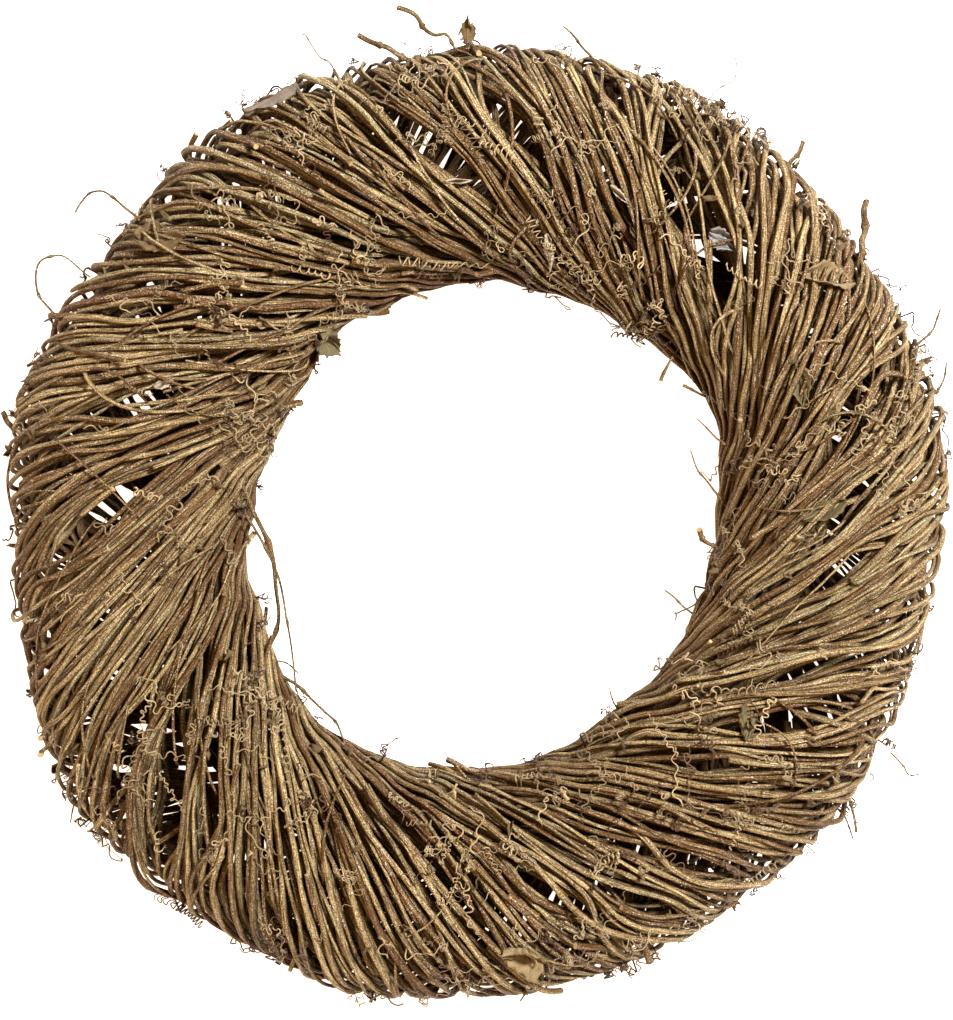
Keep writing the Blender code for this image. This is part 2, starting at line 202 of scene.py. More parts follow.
# What lies on the canes: turn, swing and heading in degrees, size, fold, curl, look, slot, how deep it is
# pressed in and how much it stands up
LEAVES = {
    "leaf_top_left": ((312, 52, 55), (0.027, 0.015), 0.5, 0.5, "brown", "brown_leaf", 0.0030, 0.0),
    "leaf_outer_top": ((359, 12, 90), (0.014, 0.008), 0.4, 0.2, "brown", "olive_leaf", 0.002, 0.95),
    "leaf_hole_left": ((320.5, 163, 80), (0.017, 0.013), 0.3, 1.4, "olive", "brown_leaf", 0.0, 0.0),
    "leaf_top_right": ((55, 60, 130), (0.028, 0.013), 0.8, 0.5, "pale", "brown_leaf", 0.0050, 0.0),
    "leaf_right_upper": ((67, 102, 20), (0.018, 0.011), 0.6, 0.7, "olive", "brown_leaf", 0.0040, 0.0),
    "leaf_right": ((88, 100, 70), (0.022, 0.009), 0.9, 0.7, "olive", "olive_leaf", 0.0052, 0.0),
    "leaf_lower_right": ((126, 103, -30), (0.018, 0.009), 0.9, 0.7, "olive", "olive_leaf", 0.0056, 0.0),
    "leaf_bottom": ((174, 56, 25), (0.021, 0.014), 0.7, 0.8, "pale", "brown_leaf", 0.0022, 0.0),
    "bark_strip": ((334, 30, 0), (0.027, 0.009), 0.12, 0.1, "grey", "loose_bark", 0.0, 0.0),
    "papery_scrap": ((41, 92, 0), (0.014, 0.010), 0.12, 0.1, "paper", "papery_scrap", 0.0075, 0.0),
}

# Thin papery slivers caught in the canes: turn, swing and heading in degrees, and the size
SLIVERS = (
    ((15, 136, 70), (0.017, 0.0045)),
    ((23.5, 99, 25), (0.011, 0.003)),
    ((357, 103, 5), (0.012, 0.0025)),
    ((294, 96, 40), (0.009, 0.004)),
)


def srgb(value):
    """A hex colour as linear red, green and blue."""
    parts = [int(value[start : start + 2], 16) / 255 for start in (1, 3, 5)]
    return tuple(part / 12.92 if part <= 0.04045 else ((part + 0.055) / 1.055) ** 2.4 for part in parts)


def draw(low, high, *key):
    """A number from low to high that is always the same for the same key."""
    return random.Random(repr((SEED, *key))).uniform(low, high)


class RingSizes(bpy.types.PropertyGroup):
    outer_radius: FloatProperty(
        name="Outer radius", description="Middle to outer edge", default=0.225, unit="LENGTH"
    )
    half_width: FloatProperty(
        name="Half width", description="Half the ring's width", default=0.0555, unit="LENGTH"
    )
    half_height: FloatProperty(
        name="Half height", description="Half its thickness", default=0.042, unit="LENGTH"
    )
    hole_shift_x: FloatProperty(
        name="Hole shift X", description="Hole off the middle", default=0.0035, unit="LENGTH"
    )
    hole_shift_y: FloatProperty(
        name="Hole shift Y", description="Hole off the middle", default=-0.0012, unit="LENGTH"
    )
    oval_by: FloatProperty(
        name="Oval by", description="Longer and narrower by this", default=0.0045, unit="LENGTH"
    )
    oval_turn: FloatProperty(
        name="Oval turn", description="Where longest", default=math.radians(33), unit="ROTATION"
    )


class CaneSizes(bpy.types.PropertyGroup):
    per_vine: IntProperty(name="Canes a vine", description="Canes in each vine", default=19, min=3)
    thinnest: FloatProperty(
        name="Thinnest", description="Radius of the thinnest", default=0.0008, unit="LENGTH"
    )
    thickest: FloatProperty(
        name="Thickest", description="Radius of the thickest", default=0.0018, unit="LENGTH"
    )
    sides: IntProperty(name="Sides", description="Sides of a cane", default=5, min=5)
    tendrils: IntProperty(name="Tendrils", description="Curls over the whole ring", default=720, min=0)
    tendril: FloatProperty(name="Tendril", description="Radius of a tendril", default=0.00031, unit="LENGTH")


class WreathColours(bpy.types.PropertyGroup):
    golden: FloatVectorProperty(
        name="Golden bark", description="Lightest", subtype="COLOR", default=srgb("#d3ba82")
    )
    brown: FloatVectorProperty(
        name="Brown bark", description="Darkest", subtype="COLOR", default=srgb("#7b5f34")
    )
    red: FloatVectorProperty(
        name="Red bark", description="Young shoots", subtype="COLOR", default=srgb("#7c5630")
    )
    grey: FloatVectorProperty(
        name="Grey bark", description="Old shoots", subtype="COLOR", default=srgb("#a3976a")
    )
    # Deep bark: the colour in the cracks and pits, and also the painted shade that the bark is mixed towards
    # where the tone is darkened
    deep: FloatVectorProperty(
        name="Deep bark", description="In its cracks", subtype="COLOR", default=srgb("#421f03")
    )
    # Pores: pale corky dots, made nearly white so that they also serve as painted highlight on the lit side
    # of the canes
    pores: FloatVectorProperty(
        name="Pores", description="Pale corky dots", subtype="COLOR", default=srgb("#f5efe2")
    )
    curl: FloatVectorProperty(
        name="Tendril", description="Dried tendrils", subtype="COLOR", default=srgb("#f0d5a2")
    )
    leaf: FloatVectorProperty(
        name="Leaf", description="Dried leaves", subtype="COLOR", default=srgb("#6e5733")
    )
    olive: FloatVectorProperty(
        name="Olive leaf", description="Greener leaves", subtype="COLOR", default=srgb("#625533")
    )


class StudioSettings(bpy.types.PropertyGroup):
    lens: FloatProperty(name="Lens", description="Focal length", default=85.0, subtype="DISTANCE_CAMERA")
    key: FloatProperty(name="Key light", description="Power of the key", default=66.0, unit="POWER")
    fill: FloatProperty(name="Fill light", description="Power of the fill", default=14.0, unit="POWER")
    sky: FloatProperty(name="Sky", description="Strength of the light all round", default=0.17)
    glow: FloatProperty(name="Floor glow", description="The floor's own light", default=1.32)


def ring():
    """The sizes of the ring."""
    return bpy.context.scene.wreath_ring


def lean(swing, sizes):
    """Turn for each radian of swing, as a taut string lies: radius times the cosine of its slant is fixed."""
    radius = sizes.outer_radius - sizes.half_width + sizes.half_width * math.cos(swing)
    return arc_rate(swing, sizes) * SLANT_RADIUS / (radius * math.sqrt(radius**2 - SLANT_RADIUS**2))


def arc_rate(swing, sizes):
    return math.hypot(sizes.half_width * math.sin(swing), sizes.half_height * math.cos(swing))


@functools.lru_cache
def winding():
    """(turn made at each step from the first corner, distance between tracks there square to the canes)."""
    sizes = ring()
    parts = 10
    turns = [0.0]
    for step in range(STEPS):
        middles = [FIRST_SWING + STEP * (step + (part + 0.5) / parts) for part in range(parts)]
        turns.append(turns[-1] + sum(lean(swing, sizes) for swing in middles) * STEP / parts)
    scale = TRACKS_PER_TURN * TRACK / turns[-1]
    rooms = []
    for step in range(STEPS):
        swing = FIRST_SWING + STEP * step
        radius = sizes.outer_radius - sizes.half_width + sizes.half_width * math.cos(swing)
        slant = math.atan2(arc_rate(swing, sizes), radius * lean(swing, sizes) * scale)
        rooms.append(TRACK * radius * math.sin(slant))
    return np.array(turns[:-1]) * scale, np.array(rooms)


def turn_at(steps):
    """The turn that a track has made at these steps, past one round too."""
    turns, _ = winding()
    rounds = np.floor_divide(steps, STEPS)
    whole = TRACKS_PER_TURN * TRACK
    return rounds * whole + np.interp(steps - rounds * STEPS, np.arange(STEPS + 1), np.append(turns, whole))


def wrapped(angle):
    return (angle + math.pi) % (2 * math.pi) - math.pi


def unevenness(turn, swing):
    """How much fuller or leaner than even the ring is at a place."""
    slow = np.sin(3 * turn + 1.3) + 0.8 * np.sin(5 * turn + 2 * swing + 0.4)
    quick = np.sin(11 * turn - swing + 2.0) + np.sin(17 * turn + swing) + np.sin(29 * turn + 2 * swing + 1.1)
    return 0.010 * slow + 0.011 * quick


def edge_wave(turn, waves_round):
    """How far an edge stands off the oval at a turn."""
    return sum(size * MM * np.cos(times * turn + phase) for times, size, phase in waves_round)


def on_ring(turn, swing, depth):
    """Points at a turn and a swing, so far below the ring's surface. All three may be arrays."""
    sizes = ring()
    shift = sizes.hole_shift_x * np.sin(turn) + sizes.hole_shift_y * np.cos(turn)
    half_width = sizes.half_width - shift / 2
    fullness = FULLNESS + unevenness(turn, swing) * np.clip(1.5 * np.sin(swing) + 1, 0, 1)
    outer = sizes.outer_radius + sizes.oval_by * np.cos(2 * (turn - sizes.oval_turn))
    radius = outer - half_width + (half_width * fullness - depth) * np.cos(swing)
    radius += (edge_wave(turn, OUTER_EDGE) - OUTER_EDGE_IN) * np.clip(np.cos(swing), 0, 1)
    radius += (edge_wave(turn, INNER_EDGE) + INNER_EDGE_OUT) * np.clip(-np.cos(swing), 0, 1)
    height = sizes.half_height + (sizes.half_height * FULLNESS - depth) * np.sin(swing)
    return np.stack([radius * np.sin(turn), radius * np.cos(turn), height], axis=-1)


def outward_at(turn, swing):
    sizes = ring()
    across = np.cos(swing) * sizes.half_height
    up = np.sin(swing) * sizes.half_width
    size = np.hypot(across, up)
    across, up = across / size, up / size
    return np.stack([across * np.sin(turn), across * np.cos(turn), up], axis=-1)


def fork_ring(vine):
    """The ring of corners at which a vine's runner forks."""
    return FORK_RINGS[int(draw(0, len(FORK_RINGS), "fork", vine % VINES))]


def waves(steps, sizes, *key):
    """A slow wander along a cane, as a few waves in each round."""
    total = np.zeros(len(steps))
    for times, size in enumerate(sizes, start=1):
        total += size * np.sin(times * steps * STEP + draw(0, 2 * math.pi, *key, times))
    return total


def pushed_aside(turns, steps):
    """How far a cane stands aside for the open places, in tracks."""
    total = np.zeros(len(steps))
    for degrees, swing, push, reach in OPENINGS:
        at = round((math.radians(swing) - FIRST_SWING) / STEP)
        nearest = np.abs(steps - at).argmin()
        if steps[nearest] != at:
            continue
        away = wrapped(turns[nearest] - math.radians(degrees)) / TRACK
        near = math.exp(-((away / OPENING_WIDE) ** 2))
        fade = np.exp(-(((steps - at) * STEP / math.radians(reach)) ** 2))
        total += math.copysign(push * near, away) * fade
    return total


def widest(values, reach):
    """The largest value within reach either side, then evened out over the same reach."""
    padded = np.pad(values, reach, mode="edge")
    peaks = np.max([padded[i : i + len(values)] for i in range(2 * reach + 1)], axis=0)
    padded = np.pad(peaks, reach, mode="edge")
    return np.mean([padded[i : i + len(values)] for i in range(2 * reach + 1)], axis=0)


def kinks(steps, size, *key):
    """The slight zigzag of a shoot from node to node."""
    knots = [steps[0]]
    while knots[-1] < steps[-1]:
        knots.append(knots[-1] + draw(7, 15, *key, "knot", len(knots)))
    aside = [draw(-size, size, *key, "aside", number) for number in range(len(knots))]
    return np.interp(steps, knots, aside)


@functools.lru_cache
def canes():
    """Every cane as a dictionary: its vine, radius, steps, turns, swings and depths."""
    sizes = bpy.context.scene.wreath_canes
    laid = []
    for vine in range(VINES):
        for number in range(sizes.per_vine):
            key = (vine, number)
            first = min(fork_ring(vine) * STEPS_A_RING, LATEST_START) - round(draw(0, 6, "early", *key))
            last = (RINGS + fork_ring(vine + TRACKS_PER_TURN // TRACKS_A_VINE)) * STEPS_A_RING
            steps = np.arange(first, min(last, LATEST_END) + round(draw(1, 5, "late", *key)))
            place = (number + 0.5) / sizes.per_vine * TRACKS_A_VINE - TRACKS_A_VINE / 2
            drift = draw(-0.8, 0.8, "drift", *key)
            if draw(0, 1, "strays", *key) < STRAY_SHARE:
                drift = math.copysign(draw(*STRAY_BY, "stray", *key), drift)
            gather = 1 - 0.5 * np.exp(-(((steps - first) / 4) ** 2))
            tracks = (place + draw(-0.25, 0.25, "place", *key)) * gather
            tracks += drift * np.sin((steps - 12) * STEP / 2 + draw(-0.9, 0.9, "phase", *key)) * 0.6
            tracks += waves(steps, CANE_WAVES, "cane", *key)
            tracks += waves(steps, VINE_WAVES, "vine", vine)
            tracks += kinks(steps, KINK, "kinks", *key)
            turns = ((vine * TRACKS_A_VINE + 1) + tracks) * TRACK + turn_at(steps)
            thick = draw(0, 1, "thick", *key) ** 1.3
            order = 0.45 * draw(0, 1, "vine order", vine) + 0.55 * draw(0, 1, "order", *key)
            radius = sizes.thinnest + (sizes.thickest - sizes.thinnest) * thick
            swings = FIRST_SWING + steps * STEP
            cane = {"vine": vine, "number": number, "radius": radius, "order": order}
            laid.append({**cane, "steps": steps, "turns": turns, "swings": swings})
    even_out(laid)
    for cane in laid:
        cane["turns"] = cane["turns"] + pushed_aside(cane["turns"], cane["steps"]) * TRACK
    stack(laid)
    return laid


def even_out(laid):
    """Moves the canes sideways from crowded to bare places, most of all in the outer half."""
    cells = VINES * TRACKS_A_VINE * CELLS_A_TRACK
    cell = 2 * math.pi / cells
    turns, _ = winding()
    crowd = np.zeros((STEPS, cells))
    for cane in laid:
        steps = cane["steps"] % STEPS
        at = np.floor((cane["turns"] - turns[steps]) / cell).astype(int) % cells
        np.add.at(crowd, (steps, at), cane["radius"])
    away = (np.arange(cells) + cells // 2) % cells - cells // 2
    kernel = np.fft.rfft(np.exp(-((away / 4.0) ** 2)))
    crowd = np.fft.irfft(np.fft.rfft(crowd, axis=1) * kernel, cells, axis=1)
    share = np.cumsum(crowd, axis=1) / crowd.sum(axis=1, keepdims=True)
    moves = (share - (np.arange(cells) + 1) / cells) * 2 * math.pi
    moves -= moves.mean(axis=1, keepdims=True)
    round_on = TRACKS_PER_TURN * CELLS_A_TRACK
    padded = np.concatenate([np.roll(moves[-3:], round_on, 1), moves, np.roll(moves[:3], -round_on, 1)])
    moves = np.mean([padded[i : i + STEPS] for i in range(7)], axis=0)
    for cane in laid:
        steps = cane["steps"] % STEPS
        at = ((cane["turns"] - turns[steps]) / cell) % cells
        low = at.astype(int)
        part = at - low
        move = moves[steps, low] * (1 - part) + moves[steps, (low + 1) % cells] * part
        cane["turns"] = cane["turns"] + move * (0.45 + 0.4 * np.cos(cane["swings"] - 0.5))


def stack(laid):
    """Works out each cane's depth, from the outermost inwards: it lies against what crosses above it."""
    _, rooms = winding()
    placed = [[] for _ in range(STEPS)]
    for cane in sorted(laid, key=lambda cane: cane["order"]):
        radius = cane["radius"]
        needed = np.full(len(cane["steps"]), radius)
        for at, step in enumerate(cane["steps"]):
            over = placed[step % STEPS]
            if not over:
                continue
            turns, depths, radii = np.array(over).T
            apart = np.abs(wrapped(turns - cane["turns"][at])) / TRACK * rooms[step % STEPS]
            reach = radii + radius
            touching = apart < reach
            if touching.any():
                below = depths[touching] + np.sqrt(reach[touching] ** 2 - apart[touching] ** 2)
                needed[at] = max(needed[at], below.max())
        depths = widest(needed, 2)
        cane["depths"] = depths
        for at, step in enumerate(cane["steps"]):
            placed[step % STEPS].append((cane["turns"][at], depths[at], radius))
    for cane in laid:
        key = (cane["vine"], cane["number"])
        settled = draw(0, 1, "loose", *key) < SETTLED_SHARE
        lift = draw(*(SETTLED_LIFT if settled else LOOSE_LIFT), "lift", *key)
        crest = np.maximum(0, np.cos(cane["swings"] - draw(0, 2.4, "at", *key))) ** 2
        cane["depths"] = cane["depths"] - lift * crest


def smooth_at(values, at):
    """The smooth curve through values, read at these fractional places."""
    index = np.clip(at.astype(int), 0, len(values) - 2)
    part = at - index
    before = values[np.maximum(index - 1, 0)]
    start = values[index]
    end = values[index + 1]
    after = values[np.minimum(index + 2, len(values) - 1)]
    square = 2 * before - 5 * start + 4 * end - after
    cube = 3 * start - before - 3 * end + after
    return start + 0.5 * part * (end - before + part * (square + part * cube))


def tube(points, outward, radii, sides, tone, ridge=0.0, key=()):
    """One closed tube: its rings of corners, its length so far at each ring, and its tone at each corner."""
    along = np.gradient(points, axis=0)
    along /= np.linalg.norm(along, axis=1, keepdims=True)
    side = np.cross(along, outward)
    side /= np.linalg.norm(side, axis=1, keepdims=True)
    up = np.cross(side, along)
    length = lengths(points)
    angles = -math.pi / 2 + 2 * math.pi * np.arange(sides) / sides
    shape = np.ones((len(points), sides))
    if ridge:
        shape += np.array([draw(-ridge, ridge, *key, "ridge", corner) for corner in range(sides)])
        twist = length[:, None] * draw(60, 140, *key) + angles * 2 + draw(0, 6, *key, 1)
        shape += ridge * 0.6 * np.sin(twist)
    spread = radii[:, None] * shape
    corners = (
        points[:, None, :]
        + side[:, None, :] * (np.cos(angles) * spread)[..., None]
        + up[:, None, :] * (np.sin(angles) * spread)[..., None]
    )
    tones = np.empty((len(points), sides, 4))
    tones[:] = tone
    # Painted shade: the under side of each tube, which faces into the ring, or down for a twig, is made
    # browner and much darker
    painted_underside_shade = np.sqrt(0.5 - 0.5 * np.sin(angles))
    tones[..., 0] += 0.6 * painted_underside_shade
    tones[..., 3] *= 1.06 - 0.72 * painted_underside_shade
    made = {"corners": corners, "length": length, "radius": float(np.mean(radii))}
    return {**made, "tone": tones.reshape(-1, 4)}


def lengths(points):
    return np.concatenate([[0], np.cumsum(np.linalg.norm(np.diff(points, axis=0), axis=1))])


def mesh_of(name, tubes, bark, cut=None):
    """One mesh of many tubes with a cap at both ends. The caps may have a material of their own."""
    points, quads, caps, around, tones = [], [], [], [], []
    start = 0
    for part in tubes:
        corners = part["corners"]
        count, sides, _ = corners.shape
        points.append(corners.reshape(-1, 3))
        index = start + np.arange(count * sides).reshape(count, sides)
        a, b = index[:-1], index[1:]
        quads.append(np.stack([a, np.roll(a, -1, 1), np.roll(b, -1, 1), b], axis=-1).reshape(-1, 4))
        wide = 2 * math.pi * part["radius"]
        near, far = np.arange(sides), np.arange(1, sides + 1)
        u = np.stack([near, far, far, near], -1)
        u = np.broadcast_to(u / sides * wide, (count - 1, sides, 4))
        v = np.stack([part["length"][:-1]] * 2 + [part["length"][1:]] * 2, -1)
        v = np.broadcast_to(v[:, None, :], (count - 1, sides, 4))
        around.append(np.stack([u, v], axis=-1).reshape(-1, 2))
        caps += [index[0][::-1], index[-1]]
        tones.append(part["tone"])
        start += count * sides
    points = np.concatenate(points)
    quads = np.concatenate(quads)
    sizes = np.concatenate([np.full(len(quads), 4), [len(cap) for cap in caps]]).astype(np.int32)
    loops = np.concatenate([quads.reshape(-1), *caps]).astype(np.int32)
    mesh = bpy.data.meshes.new(name)
    mesh.vertices.add(len(points))
    mesh.vertices.foreach_set("co", points.reshape(-1))
    mesh.loops.add(len(loops))
    mesh.loops.foreach_set("vertex_index", loops)
    mesh.polygons.add(len(sizes))
    mesh.polygons.foreach_set("loop_start", np.concatenate([[0], np.cumsum(sizes)[:-1]]).astype(np.int32))
    mesh.update(calc_edges=True)
    cap_uv = np.zeros((len(loops) - quads.size, 2))
    layer = mesh.uv_layers.new(name="BarkUV")
    layer.data.foreach_set("uv", np.concatenate([*around, cap_uv]).reshape(-1))
    tone = mesh.color_attributes.new("tone", "FLOAT_COLOR", "POINT")
    tone.data.foreach_set("color", np.concatenate(tones).reshape(-1).astype(np.float32))
    mesh.materials.append(bark)
    mesh.shade_smooth()
    if cut:
        mesh.materials.append(cut)
        mesh.polygons.foreach_set("material_index", (np.arange(len(sizes)) >= len(quads)).astype(np.int32))
        mesh.polygons.foreach_set("use_smooth", np.arange(len(sizes)) < len(quads))
    mesh.validate()
    return mesh


def piece(name, mesh, slot, *replaced):
    """Puts a finished mesh in the scene as a piece of the wreath."""
    made = bpy.data.objects.new(name, mesh)
    bpy.context.scene.collection.objects.link(made)
    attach(made, "root")
    if replaced:
        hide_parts(*replaced)
    return made


def bark_tone(*key):
    """How brown, how red, how grey and how bright a cane is."""
    kind = draw(0, 1, "kind", *key)
    brown = draw(0.0, 1.0, "brown", *key)
    red = draw(0.2, 0.7, "red", *key) if kind < 0.10 else 0.0
    grey = draw(0.2, 0.8, "grey", *key) if kind > 0.86 else 0.0
    return (brown, red, grey, draw(0.72, 1.26, "bright", *key))


def cane_tube(cane):
    """A cane swept along its path, with swollen nodes and a cut at each end."""
    sizes = bpy.context.scene.wreath_canes
    key = (cane["vine"], cane["number"])
    count = len(cane["steps"])
    nodes = [draw(0, 14, "node", *key)]
    while nodes[-1] < count - 1:
        nodes.append(nodes[-1] + draw(9, 20, "node", *key, len(nodes)))
    nodes = np.array(nodes[:-1])
    at = np.linspace(0, count - 1, round(count * 0.95))
    at = at[np.abs(at[:, None] - nodes).min(axis=1) > 0.75]
    at = np.sort(np.concatenate([at, nodes - 0.55, nodes, nodes + 0.55]))
    at = at[(at >= 0) & (at <= count - 1)]
    turns = smooth_at(cane["turns"], at)
    swings = smooth_at(cane["swings"], at)
    points = on_ring(turns, swings, smooth_at(cane["depths"], at))
    radii = cane["radius"] * np.linspace(1.07, 0.93, len(at))
    for number, node in enumerate(nodes):
        radii = radii * (1 + draw(0.10, 0.34, "swell", *key, number) * np.exp(-(((at - node) / 0.4) ** 2)))
    made = tube(points, outward_at(turns, swings), radii, sizes.sides, bark_tone(*key), 0.08, ("bark", *key))
    # Painted light and shade: the canes are made brighter on the outer side of the ring and darker on the
    # hole's side
    made["tone"][:, 3] *= np.repeat(1.02 + 0.19 * np.cos(swings), sizes.sides)
    return made


def twig_tube(number, radii, heights, way):
    """A loose twig along the points of its way, thinning to its tip, with a node or two."""
    at = np.linspace(0, len(way) - 1, 8 * len(way))
    across, along = (smooth_at(np.array(values, dtype=float), at) for values in zip(*way))
    wobble = [0.3 * radii[0] * np.sin(at * draw(3, 7, "twig", number, axis)) for axis in range(2)]
    height = np.linspace(*heights, len(at))
    points = np.stack([across + wobble[0], along + wobble[1], height], axis=-1) * MM
    radius = np.linspace(*radii, len(at)) * MM
    for node in (0.35, 0.72):
        radius = radius * (1 + 0.7 * np.exp(-(((at / at[-1] - node) / 0.02) ** 2)))
    up = np.tile([0.0, 0.0, 1.0], (len(at), 1))
    return tube(points, up, radius, 6, (0.9, 0.2, 0.3, 0.75), 0.1, ("twig", number))


def stub_tube(number):
    """A short cut shoot that follows the canes and then stands off them."""
    key = ("stub", number)
    long = draw(2.0, 4.5, "long", *key) if draw(0, 1, "kind", *key) < 0.6 else draw(6, 15, "long", *key)
    inner = draw(0, 1, "inner", *key) < 0.4
    start = (draw(150, 172, "swing", *key) if inner else draw(8, 120, "swing", *key)) + 75
    steps = start / 5 + np.linspace(0, long, 12) * (1 if draw(0, 1, "way", *key) < 0.6 else -1)
    turns = draw(0, 2 * math.pi, "turn", *key) + turn_at(steps) - turn_at(steps[:1])
    turns = turns + draw(-0.012, 0.012, "aside", *key) * long * np.linspace(0, 1, 12)
    swings = FIRST_SWING + steps * STEP
    depths = 0.003 - (0.003 + draw(0.0005, 0.0045, "stands", *key)) * np.linspace(0, 1, 12) ** 1.5
    radii = np.full(12, draw(0.0007, 0.0017, "radius", *key))
    points = on_ring(turns, swings, depths)
    return tube(points, outward_at(turns, swings), radii, 7, bark_tone(*key), 0.1, key)


def crossing_tube(number):
    """A thin shoot that strays over the canes at a slant of its own, pressed down at both ends."""
    key = ("crossing", number)
    share = np.linspace(0, 1, 22)
    long = draw(0.025, 0.080, "long", *key)
    slant = math.copysign(draw(0.25, 1.0, "slant", *key), draw(-1, 1, "side", *key))
    bow = draw(-0.010, 0.010, "bow", *key) * np.sin(math.pi * share)
    swing = math.radians(draw(25, 140, "swing", *key))
    swings = swing + (share - 0.5) * long * math.cos(slant) / arc_rate(swing, ring())
    radius = ring().outer_radius - ring().half_width * (1 - math.cos(swing))
    lying = turn_at((swings - FIRST_SWING) / STEP)
    across = (share * long * math.sin(slant) + bow) / radius
    turns = draw(0, 2 * math.pi, "turn", *key) + lying - lying[0] + across
    depths = 0.0035 - (0.0035 + draw(0.0008, 0.0035, "arch", *key)) * np.sin(math.pi * share) ** 0.7
    radii = draw(0.0005, 0.0010, "radius", *key) * np.linspace(1.1, 0.8, 22)
    points = on_ring(turns, swings, depths)
    return tube(points, outward_at(turns, swings), radii, 5, bark_tone(*key), 0.1, key)


def add_node(tree, kind, links=None, values=None, **settings):
    """Adds a node with its settings, its input values and the sockets that feed it."""
    made = tree.nodes.new(kind)
    for name, value in settings.items():
        setattr(made, name, value)
    for name, value in (values or {}).items():
        made.inputs[name].default_value = value
    for name, socket in (links or {}).items():
        tree.links.new(socket, made.inputs[name])
    return made


def new_material(name):
    made = bpy.data.materials.new(name)
    made.use_nodes = True
    return made, made.node_tree, made.node_tree.nodes["Principled BSDF"]


# The Mix node's sockets for colours: its two inputs and its result
MIX_A, MIX_B, MIX_OUT = 6, 7, 2


def mixed(tree, share, one, other):
    """Mixes two colours, each a socket or linear red, green and blue."""
    links, values = {}, {}
    for name, given in ((0, share), (MIX_A, one), (MIX_B, other)):
        if isinstance(given, bpy.types.NodeSocket):
            links[name] = given
        else:
            values[name] = given if name == 0 else (*given[:3], 1)
    return add_node(tree, "ShaderNodeMix", links, values, data_type="RGBA").outputs[MIX_OUT]


def maths(tree, operation, one, other, clamp=False):
    """Does a sum on two values, each a socket or a number."""
    links = {at: given for at, given in enumerate((one, other)) if isinstance(given, bpy.types.NodeSocket)}
    values = {at: given for at, given in enumerate((one, other)) if at not in links}
    return add_node(tree, "ShaderNodeMath", links, values, operation=operation, use_clamp=clamp).outputs[0]


def noise(tree, place, scale, detail):
    """Cloudy noise with this many features to a metre, or to a unit of the place given."""
    values = {"Scale": scale, "Detail": detail}
    return add_node(tree, "ShaderNodeTexNoise", {"Vector": place}, values).outputs["Fac"]


def ramp(tree, value, low, high, start, end):
    """Goes from start to end while the value goes from low to high."""
    values = {1: low, 2: high, 3: start, 4: end}
    return add_node(tree, "ShaderNodeMapRange", {"Value": value}, values).outputs[0]


def bark_material():
    """Dried climbing vine with its bark on: long fibres, pale pores that also serve as painted highlight,
    patches from gold to brown, and painted shade from the tone.
    """
    made, tree, shader = new_material("dried vine bark, split along its fibres")
    colours = bpy.context.scene.wreath_colours
    place = add_node(tree, "ShaderNodeTexCoord").outputs["Object"]
    uv = add_node(tree, "ShaderNodeUVMap", uv_map="BarkUV").outputs["UV"]
    tone = add_node(tree, "ShaderNodeAttribute", attribute_name="tone")
    parts = add_node(tree, "ShaderNodeSeparateColor", {"Color": tone.outputs["Color"]})
    # Patches of colour about 20 mm long
    patches = noise(tree, place, 48.0, 4.0)
    # The tone's red part is raised on each cane's under side as painted shade, so the bark is browner there
    # as well as in the patches
    browning = maths(tree, "ADD", maths(tree, "ADD", patches, parts.outputs["Red"]), -0.45, clamp=True)
    base = mixed(tree, browning, colours.golden, colours.brown)
    base = mixed(tree, parts.outputs["Green"], base, colours.red)
    base = mixed(tree, parts.outputs["Blue"], base, colours.grey)
    # Fibres 0.5 mm wide and 12 mm long
    stretch = add_node(tree, "ShaderNodeMapping", {"Vector": uv}, {"Scale": (2000.0, 85.0, 1.0)}).outputs[0]
    fibres = noise(tree, stretch, 1.0, 3.0)
    dark = ramp(tree, fibres, 0.36, 0.61, 0.24, 1.42)
    # Corky pores and pits 0.7 mm apart
    pores = noise(tree, place, 1500.0, 1.5)
    pale = ramp(tree, pores, 0.55, 0.67, 0.0, 0.85)
    pits = ramp(tree, pores, 0.33, 0.50, 0.22, 1.0)
    # Painted shade, in part: the dark fibres and pits are the bark's own, but the tone's alpha also darkens
    # each cane's under side and the hole's side as painted shade, and all of them mix the bark towards the
    # deep colour
    shade = maths(tree, "MULTIPLY", maths(tree, "MULTIPLY", dark, tone.outputs["Alpha"]), pits)
    # Painted highlight, in part: the pale pores are the bark's own, but they show most where the tone is
    # brightest, which includes the lit upper side of each cane
    bright = maths(tree, "SUBTRACT", tone.outputs["Alpha"], 0.3, clamp=True)
    pale = maths(tree, "MULTIPLY", pale, bright, clamp=True)
    streaks = ramp(tree, fibres, 0.38, 0.60, 0.25, 1.25)
    pale = maths(tree, "MULTIPLY", pale, streaks, clamp=True)
    lit = add_node(tree, "ShaderNodeVectorMath", {0: base}, {"Scale": 1.35}, operation="SCALE").outputs[0]
    shaded = mixed(tree, maths(tree, "MULTIPLY", shade, 0.74, clamp=True), colours.deep, lit)
    tree.links.new(mixed(tree, pale, shaded, colours.pores), shader.inputs["Base Color"])
    height = maths(tree, "ADD", fibres, pores)
    bump = add_node(tree, "ShaderNodeBump", {"Height": height}, {"Strength": 1.0, "Distance": 0.0010})
    tree.links.new(bump.outputs[0], shader.inputs["Normal"])
    shader.inputs["Roughness"].default_value = 0.6
    shader.inputs["Specular IOR Level"].default_value = 0.15
    return made


def cut_material():
    """Fresh cut ends: pale, dry wood with a darker pith."""
    made, tree, shader = new_material("pale cut wood of the vine")
    place = add_node(tree, "ShaderNodeTexCoord").outputs["Object"]
    grain = noise(tree, place, 1500.0, 2.0)
    tree.links.new(mixed(tree, grain, srgb("#d8bf8c"), srgb("#8a6538")), shader.inputs["Base Color"])
    shader.inputs["Roughness"].default_value = 0.8
    return made


